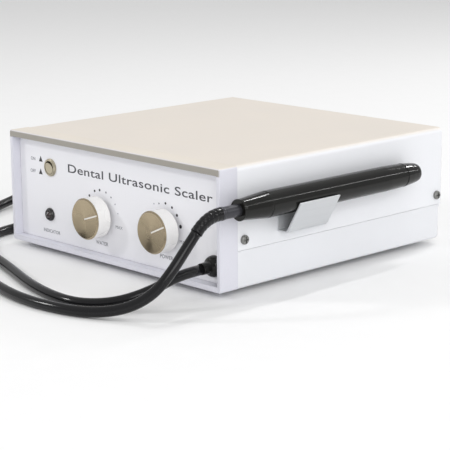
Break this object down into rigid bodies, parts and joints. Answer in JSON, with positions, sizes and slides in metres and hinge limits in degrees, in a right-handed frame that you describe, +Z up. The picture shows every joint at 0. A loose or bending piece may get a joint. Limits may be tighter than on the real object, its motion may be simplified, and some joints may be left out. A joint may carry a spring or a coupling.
{
  "type": "ultrasonic dental scaler",
  "caption": "Desktop ultrasonic dental scaler: flat white sheet-metal cabinet, framed front panel with water and power knobs, black handpiece in a side holder on its cord.",
  "frame": {"origin": "centre of the cabinet's footprint, on the plane that its feet stand on", "axes": "+Z up; -Y out of the front panel, towards the person who uses it; +X towards the side that holds the handpiece"},
  "size_m": [0.3168, 0.3, 0.076],
  "materials": {
    "white_enamel": "fine satin powder coat",
    "tray_enamel": "fine satin powder coat",
    "bezel_grey": "satin lavender-grey moulding",
    "panel_aluminium": "satin anodised",
    "overlay_print": "printed matt film",
    "knob_aluminium": "turned, spun face",
    "nickel": "bright nickel",
    "dark_screw": "black oxide",
    "steel": "zinc plated",
    "screw_grey": "dull grey plating",
    "gunmetal": "dark satin",
    "bezel_black": "black moulding",
    "stainless": "fine satin",
    "brass": "machined",
    "black_gloss": "polished black",
    "black_matte": "fine texture",
    "black_rubber": "smooth soft rubber",
    "foot_rubber": "matt",
    "lamp_red": "unlit dark red lens",
    "board_green": "solder mask",
    "connector_white": "moulded",
    "can_blue": "shrink sleeve",
    "heatsink_black": "black anodised",
    "core_steel": "varnished laminations",
    "winding_tape": "yellow tape",
    "copper_wire": "enamelled copper",
    "nylon_clear": "natural nylon",
    "hose_clear": "soft tube"
  },
  "bodies": {
    "cabinet": {"front_bezel": "bezel_grey", "front_panel": "panel_aluminium", "panel_overlay": "overlay_print", "top_cover": "white_enamel", "chassis_tray": "tray_enamel", "housing_screws": "screw_grey", "feet": "foot_rubber", "chassis_screws": "steel", "holder_bracket": "stainless", "holder_rivets": "steel", "water_valve_body": "brass", "water_valve_nut": "nickel", "potentiometer_body": "steel", "potentiometer_nut": "nickel", "switch_ring": "nickel", "switch_body": "black_matte", "indicator_bezel": "bezel_black", "indicator_lamp": "lamp_red", "cord_gland": "black_gloss", "cord_gland_nut": "black_matte", "cord_gland_run": "black_rubber", "cord_handpiece_run": "black_rubber", "cord_coil": "black_rubber", "coil_tie": "black_matte", "circuit_board": "board_green", "board_standoffs": "steel", "capacitors": "can_blue", "board_connectors": "connector_white", "heatsink": "heatsink_black", "power_transistors": "black_matte", "transformer_core": "core_steel", "transformer_winding": "winding_tape", "transformer_mount": "steel", "solenoid_valve": "brass", "solenoid_coil": "black_matte", "mains_inlet": "black_matte", "fuse_holder": "black_matte", "fuse_cap": "black_matte", "footswitch_jack": "nickel", "jack_nut": "nickel", "water_inlet": "brass", "inlet_nut": "brass", "needle_valve_hose": "hose_clear", "gland_hose": "hose_clear"},
    "water_control": {"water_knob": "knob_aluminium", "water_knob_set_screw": "dark_screw", "water_valve_stem": "brass"},
    "power_control": {"power_knob": "knob_aluminium", "power_knob_set_screw": "dark_screw", "potentiometer_shaft": "brass"},
    "rocker": {"switch_rocker": "nickel"},
    "handpiece": {"handpiece_body": "black_gloss", "handpiece_nose_cap": "black_gloss", "handpiece_collar": "black_gloss", "handpiece_adapter": "gunmetal", "handpiece_boot": "black_rubber", "handpiece_bobbin": "nylon_clear", "handpiece_winding": "copper_wire", "handpiece_water_tube": "nylon_clear"},
    "plunger": {"solenoid_plunger": "stainless"}
  },
  "joints": [
    {"name": "power_rocker", "type": "hinge", "parent": "cabinet", "child": "rocker", "pos_m": [-0.0638, -0.0912, 0.0548], "axis": [-1, 0, 0], "range_deg": [0, 16]},
    {"name": "water_knob_turn", "type": "hinge", "parent": "cabinet", "child": "water_control", "pos_m": [-0.0148, -0.098, 0.031], "axis": [0, -1, 0], "range_deg": [-38, 232]},
    {"name": "power_knob_turn", "type": "hinge", "parent": "cabinet", "child": "power_control", "pos_m": [0.0469, -0.098, 0.0326], "axis": [0, -1, 0], "range_deg": [-44, 226]},
    {"name": "handpiece_lift", "type": "slide", "parent": "cabinet", "child": "handpiece", "axis": [0, 0, 1], "range_m": [0, 0.04]},
    {"name": "valve_plunger_lift", "type": "slide", "parent": "cabinet", "child": "plunger", "axis": [0, 0, 1], "range_m": [0, 0.002], "stiffness_N_per_m": 300, "springref_m": -0.002}
  ]
}
